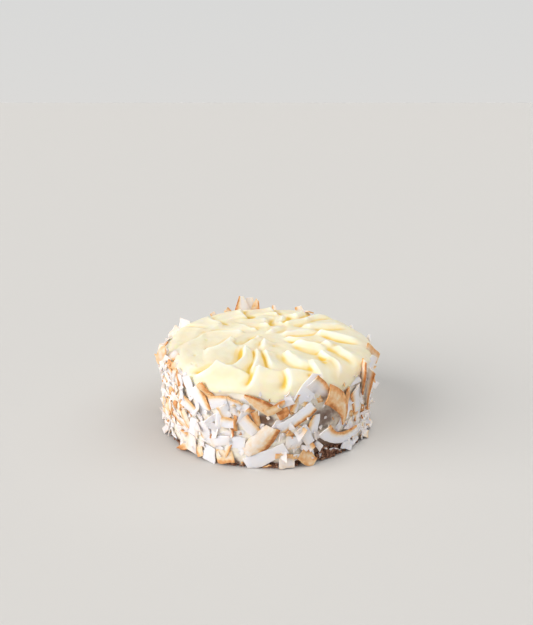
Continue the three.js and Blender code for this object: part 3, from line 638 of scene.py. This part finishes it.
# Kinds of scattered chip: where their draws start, shares left white and with one toasted edge, the most
# that they stand off and its draw, room left round the listed chips, and their sizes and turns
sideChips = dict(first=0, count=76, plain=0.5, edged=0.35, stand=(0.5, 7), room=0.3, low=6, high=46,
                 length=(7, 17), width=(5, 9), lean=22, yaw=24, curl=45, hook=25, roll=30, tip=0.25)
smallFlakes = dict(first=500, count=560, plain=0.66, edged=0.24, stand=(1.6, 11), room=0.2,
                   low=3, high=49, length=(3.5, 14), width=(3, 8),
                   lean=26, yaw=28, curl=60, hook=25, roll=55, tip=0.6)
rimFlakes = dict(smallFlakes, first=4000, count=46, low=49, high=57.5,  # on the cream's left shoulder
                 bearing=(-100, -44), lift=0.9)
shreds = dict(first=2000, count=560, plain=0.6, edged=0.15, stand=(1.4, 11), room=0.18,
              low=1.5, high=52, length=(2, 7), width=(0.8, 2.4),
              lean=40, yaw=40, curl=60, hook=25, roll=30, tip=0.4)
footChips = dict(first=76, count=20, plain=0.5, edged=0.25, stand=1.6, room=0.3, height=3.4,
                 length=(6, 11), width=(5, 8), turn=40, lean=-48, leanSpread=30)
goldenAngle = 137.508
# What all chips share: depth pressed in, least height, waves of the long edges and the faces and how
# far their starts vary, width of a toasted edge, toast at the ends, and the angle of a sharp edge
chip = dict(sink=0.5, ground=0.3, edgeWave=0.06, faceWave=0.35, phase=6.3, toastEdge=0.7,
            toastShare=0.17, endToast=0.12, endWidth=1.5, sharp=38)


def bent(along, out, degrees, length):
    bend = np.where(np.abs(degrees) < 0.5, 0.5, degrees)  # next to no bend is left as a very slight one
    radius = length / np.radians(bend)
    turn = along / radius
    return (radius + out) * np.sin(turn), (radius + out) * np.cos(turn) - radius


def turnedAbout(axis, degrees, places):  # turns each chip's points about its own x, y or z axis
    a, b = [(1, 2), (2, 0), (0, 1)][axis]
    c, s = cosine(degrees), sine(degrees)
    places[a], places[b] = c * places[a] - s * places[b], s * places[a] + c * places[b]


def slab(plate):
    # a flat plate of cells: its corners' places along it, across it and on which face, and its faces
    along, across = plate["along"], plate["across"]
    bm = bmesh.new()
    bmesh.ops.create_grid(bm, x_segments=len(along) - 1, y_segments=len(across) - 1, size=0.5)
    extruded = bmesh.ops.extrude_face_region(bm, geom=bm.faces[:])["geom"]
    lower = [part for part in extruded if isinstance(part, bmesh.types.BMVert)]
    bmesh.ops.translate(bm, vec=(0, 0, -1), verts=lower)
    bmesh.ops.recalc_face_normals(bm, faces=bm.faces)
    corners, faces = cornersAndFaces(bm)
    u = np.interp(corners[:, 0], np.linspace(-0.5, 0.5, len(along)), along)
    v = np.interp(corners[:, 1], np.linspace(-0.5, 0.5, len(across)), across)
    return u[None, :], v[None, :], 1 + 2 * corners[None, :, 2], faces


def chipPiece(name, plate, chips, material, node="coconut_coat"):
    # chips: a dictionary of columns, one value for each chip
    u, v, side, faces = slab(plate)
    column = {key: np.asarray(value, float)[:, None] for key, value in chips.items()}
    length, width = column["length"], column["width"]
    item = np.arange(len(length))[:, None] + 1000 * len(name)
    # uneven outline: one end narrower, the cut ends slanting, the long edges a little wavy
    narrow = 1 - (0.2 + 0.35 * (draw(item, 21) - 0.5)) * u - column["tip"] * (0.5 + u) ** 2
    wavy = 1 + chip["edgeWave"] * np.sin(9 * u + chip["phase"] * draw(item, 22))
    slanting = 2 * plate["slant"] * (draw(item, 23) - 0.5) * np.minimum(1, width / length)
    x = length * (u + slanting * v)
    y = width * v * narrow * wavy
    z = 0.5 * plate["thick"] * side * (1 - 0.25 * (2 * np.abs(v)) ** 4)
    rippleAlong = np.sin(5 * u + chip["phase"] * draw(item, 24))
    rippleAcross = np.sin(4 * v + chip["phase"] * draw(item, 25))
    z = z + chip["faceWave"] * rippleAlong * rippleAcross
    y, z = bent(y, z, column["roll"], width)
    x, y = bent(x, y, column["hook"], length)
    x, z = bent(x, z, column["curl"], length)
    places = [x, y, z]
    turnedAbout(2, column["turn"], places)
    turnedAbout(1, column["yaw"], places)
    turnedAbout(0, column["lean"], places)
    out = cake["coatRadius"] - chip["sink"] + column["stand"] + places[2]
    b = column["bearing"]
    up = np.maximum(column["height"] + places[1], chip["ground"])  # nothing goes through the ground
    world = np.stack([places[0] * cosine(b) + out * sine(b),
                      places[0] * sine(b) - out * cosine(b), up], axis=-1)
    # toast: all over, and more along the skin edge and at the thin ends
    edgeWidth = chip["toastEdge"] + chip["toastShare"] * width
    low = np.exp(-((0.5 + v) * width / edgeWidth) ** 2)
    high = np.exp(-((0.5 - v) * width / edgeWidth) ** 2)
    ends = np.exp(-((0.5 - np.abs(u)) * length / chip["endWidth"]) ** 2)
    toast = column["toast"] + column["lowEdge"] * low + column["highEdge"] * high
    toast = toast + chip["endToast"] * ends * draw(item, 26)
    piece = copiesPiece(name, world, faces)
    mesh = piece.data
    smoothFaces(mesh)
    mesh.set_sharp_from_angle(angle=radians(chip["sharp"]))
    setAttribute(piece, "toast", toast.ravel())
    setAttribute(piece, "shade", np.broadcast_to(draw(item, 27), toast.shape).ravel())
    grain = mesh.uv_layers.new(name="grain")  # along and across the chip, in mm
    perCorner = np.empty(len(mesh.loops), int)
    mesh.loops.foreach_get("vertex_index", perCorner)
    flatU = np.broadcast_to(u * length + 37 * item, toast.shape).ravel()  # each chip has its own fibres
    flatV = np.broadcast_to(v * width, toast.shape).ravel()
    grain.data.foreach_set("uv", np.column_stack([flatU, flatV])[perCorner].ravel())
    onCake(piece, [node], material)


def toasted(item, kind):  # some left white, some with one toasted edge, the rest browned all over
    pick, amount, which = draw(item, 31), draw(item, 32), draw(item, 33)
    isBrown = pick >= kind["plain"] + kind["edged"]
    isEdged = (pick > kind["plain"]) & ~isBrown
    edge = isEdged * (0.35 + 0.6 * amount)
    return dict(toast=0.05 * amount + isBrown * (0.25 + 0.4 * amount),
                lowEdge=edge * (which < 0.5) + isBrown * 0.2, highEdge=edge * (which >= 0.5))


def scattered(kind):
    number = np.arange(kind["count"])
    item = number + kind["first"]
    most, standDraw = kind["stand"]
    return dict(
        bearing=wrapped(number * goldenAngle),
        height=between((kind["low"], kind["high"]), (number + 0.5) / kind["count"]),
        length=between(kind["length"], draw(item, 1) ** 2), width=between(kind["width"], draw(item, 2)),
        turn=180 * draw(item, 3), lean=kind["lean"] * (2 * draw(item, 4) - 1),
        yaw=kind["yaw"] * (2 * draw(item, 5) - 1), curl=kind["curl"] * (2 * draw(item, 6) - 1),
        hook=kind["hook"] * (2 * draw(item, 8) - 1), roll=kind["roll"] * (2 * draw(item, 9) - 1),
        tip=kind["tip"] * draw(item, 10), stand=most * draw(item, standDraw), **toasted(item, kind))


def onShoulder(kind):  # flakes laid on the round of the cream top's edge
    chips = scattered(kind)
    number = np.arange(kind["count"])
    chips["bearing"] = between(kind["bearing"], (number * goldenAngle / 360) % 1)
    chips["height"] = between((kind["low"], kind["high"]), (number / kind["count"]) ** 1.5)
    edge = edgeHeight(chips["bearing"])
    drop = cream["plateauHeight"] - edge
    up = np.clip((chips["height"] - edge) / drop, 0, 0.95)
    around = np.sqrt(1 - up ** 2)
    radius = cream["plateauRadius"] + cream["shoulderWidth"] * around
    chips["stand"] = radius - cake["coatRadius"] + kind["lift"]
    laidBack = np.degrees(np.arctan2(cream["shoulderWidth"] * up, drop * around))
    chips["lean"] = 0.5 * chips["lean"] - laidBack
    return chips


def fallen(kind):  # chips that slid down and lean on the foot
    number = np.arange(kind["count"])
    item = number + kind["first"]
    none = np.zeros(kind["count"])
    return dict(
        bearing=wrapped(360 * (number + 0.6 * draw(item, 1)) / kind["count"]),
        height=none + kind["height"], stand=none + kind["stand"],
        length=between(kind["length"], draw(item, 2)), width=between(kind["width"], draw(item, 3)),
        turn=kind["turn"] * (draw(item, 4) - 0.5),
        lean=kind["lean"] + kind["leanSpread"] * (draw(item, 5) - 0.5),
        yaw=none, curl=none, hook=none, roll=none, tip=none, **toasted(item, kind))


def keepOnly(chips, kept):
    return {key: value[kept] for key, value in chips.items()}


def awayFromBare(chips):
    clear = np.ones(len(chips["bearing"]), bool)
    for b, z, wide, high in barePatches:
        clear &= (np.abs(wrapped(chips["bearing"] - b)) > wide) | (np.abs(chips["height"] - z) > high)
    return clear


def awayFromChosen(chips, kind):
    clear = np.ones(len(chips["bearing"]), bool)
    for b, z, length, width in [row[:4] for row in chosenChips]:
        aside = np.radians(wrapped(chips["bearing"] - b)) * cake["coatRadius"]
        clear &= np.hypot(aside, chips["height"] - z) > kind["room"] * (length + width)
    return clear


# Dried coconut: thin slices of white nut flesh, a little see-through, toasted tan to brown along the
# skin edge. Slightly fibrous along the slice, with a dull gloss from its oil.
def makeCoconutMaterial():
    material, tree = newMaterial("toasted_coconut")
    toast = addNode(tree, "ShaderNodeAttribute", {"attribute_name": "toast"})
    shade = addNode(tree, "ShaderNodeAttribute", {"attribute_name": "shade"})
    grain = addNode(tree, "ShaderNodeUVMap", {"uv_map": "grain"})
    # the map is in mm: fibres about 4 mm long and 0.7 mm wide, blotches of toast about 3.5 mm
    stretch = addNode(tree, "ShaderNodeMapping", None,
                      {"Vector": (grain, "UV"), "Scale": (1 / 4, 1 / 0.7, 1)})
    fibre = addNode(tree, "ShaderNodeTexNoise", None,
                    {"Vector": (stretch, "Vector"), "Scale": 1, "Detail": 3})
    blotch = addNode(tree, "ShaderNodeTexNoise", None,
                     {"Vector": (grain, "UV"), "Scale": 1 / 3.5, "Detail": 2})
    uneven = addNode(tree, "ShaderNodeMath", {"operation": "MULTIPLY_ADD"},
                     {0: (blotch, "Fac"), 1: 1.9, 2: 0.05})
    amount = addNode(tree, "ShaderNodeMath", {"operation": "MULTIPLY", "use_clamp": True},
                     {0: (toast, "Fac"), 1: (uneven, "Value")})
    browned = addNode(tree, "ShaderNodeValToRGB",
                      {"stops": [(0.0, "#F6F4F7"), (0.14, "#F7E9DF"), (0.36, "#F5CFA2"),
                                 (0.62, "#E8AA6C"), (1.0, "#BA7338")]},
                      {"Fac": (amount, "Value")})
    dull = addNode(tree, "ShaderNodeMapRange", None,
                   {"Value": (shade, "Fac"), "To Min": 0.0, "To Max": 0.45})
    colour = addNode(tree, "ShaderNodeMix", {"data_type": "RGBA", "blend_type": "MULTIPLY"},
                     {0: (dull, "Result"), 6: (browned, "Color"), 7: toLinear("#EEE5DE")})
    bump = addNode(tree, "ShaderNodeBump", None,
                   {"Strength": 0.3, "Distance": 0.25 * mm, "Height": (fibre, "Fac")})
    shader = addNode(tree, "ShaderNodeBsdfPrincipled", None, {
        "Base Color": (colour, 2), "Roughness": 0.5, "IOR": 1.45, "Subsurface Weight": 0.55,
        "Subsurface Radius": (1.0, 0.85, 0.65), "Subsurface Scale": 2.0 * mm,
        "Normal": (bump, "Normal")})
    addNode(tree, "ShaderNodeOutputMaterial", None, {"Surface": (shader, "BSDF")})
    return material


coconut = makeCoconutMaterial()

byHandPieces = [("chosen_chips", chosenChips, "coconut_coat"), ("cream_chips", creamChips, "cream_top")]
for name, rows, node in byHandPieces:
    byHand = {field: np.array(values, float) for field, values in zip(chipFields, zip(*rows))}
    chipPiece(name, plates["long"], byHand, coconut, node)

larger = scattered(sideChips)
larger = keepOnly(larger, awayFromBare(larger) & awayFromChosen(larger, sideChips))
chipPiece("side_chips", plates["long"], larger, coconut)

atFoot = fallen(footChips)
atFoot = keepOnly(atFoot, awayFromBare(atFoot) & awayFromChosen(atFoot, footChips))
chipPiece("foot_chips", plates["small"], atFoot, coconut)

flakes = scattered(smallFlakes)
flakes = keepOnly(flakes, awayFromBare(flakes) & awayFromChosen(flakes, smallFlakes))
onRim = onShoulder(rimFlakes)
flakes = {key: np.concatenate([flakes[key], onRim[key]]) for key in flakes}
chipPiece("small_flakes", plates["small"], flakes, coconut)

thinShreds = scattered(shreds)
thinShreds = keepOnly(thinShreds, awayFromChosen(thinShreds, shreds))
chipPiece("thin_shreds", plates["shred"], thinShreds, coconut)
print("coconut made")

# Plain matt floor
floorLook = dict(size=60.0, tone="#D9D7D3")
bm = bmesh.new()
bmesh.ops.create_grid(bm, x_segments=1, y_segments=1, size=floorLook["size"] / 2)
floorMesh = bpy.data.meshes.new("floor")
bm.to_mesh(floorMesh)
bm.free()
floor = linked("floor", floorMesh)
paint, paintTree = newMaterial("pale_floor")
matt = addNode(paintTree, "ShaderNodeBsdfPrincipled", None,
               {"Base Color": toLinear(floorLook["tone"]), "Roughness": 1.0, "Specular IOR Level": 0.0})
addNode(paintTree, "ShaderNodeOutputMaterial", None, {"Surface": (matt, "BSDF")})
floorMesh.materials.append(paint)

# Soft studio light: a key from the left, a broad light from above, a weak fill from the right, and a
# low one from the left that softens the shadows between the chips. All point at the middle of the cake.
lamps = [
    dict(name="key", place=(-0.86, -0.36, 0.4), spread=60, power=2.9, colour="#FFFCFA"),
    dict(name="top", place=(0.5, 0.1, 0.86), spread=60, power=1.3, colour="#FFFDF8"),
    dict(name="fill", place=(0.8, -0.3, 0.9), spread=60, power=0.3, colour="#F4F7FF"),
    dict(name="low", place=(-0.8, -0.6, 0.2), spread=30, power=0.3, colour="#FFF8F0"),
]
aim = Vector((0, 0, 0.03))
for lamp in lamps:
    light = bpy.data.lights.new(lamp["name"], "SUN")
    light.angle = radians(lamp["spread"])
    light.energy = lamp["power"]
    light.color = toLinear(lamp["colour"])[:3]
    holder = linked(lamp["name"], light)
    holder.location = lamp["place"]
    holder.rotation_euler = (aim - Vector(lamp["place"])).to_track_quat("-Z", "Y").to_euler()

# A pale sky that meets the floor in its own tone
sky = bpy.data.worlds.new("studio")
sky.use_nodes = True
skyTree = sky.node_tree
skyTree.nodes.clear()
direction = addNode(skyTree, "ShaderNodeTexCoord")
upwards = addNode(skyTree, "ShaderNodeSeparateXYZ", None, {"Vector": (direction, "Generated")})
skyTone = addNode(skyTree, "ShaderNodeValToRGB",
                  {"stops": [(0.0, "#DBDAD8"), (0.13, "#D9D9D8"), (0.2, "#B2B4B9"), (0.45, "#828488")]},
                  {"Fac": (upwards, "Z")})
skyLight = addNode(skyTree, "ShaderNodeBackground", None, {"Color": (skyTone, "Color"), "Strength": 1.0})
addNode(skyTree, "ShaderNodeOutputWorld", None, {"Surface": (skyLight, "Background")})
bpy.context.scene.world = sky
bpy.context.scene.view_settings.view_transform = "Standard"
print("stage and light set")
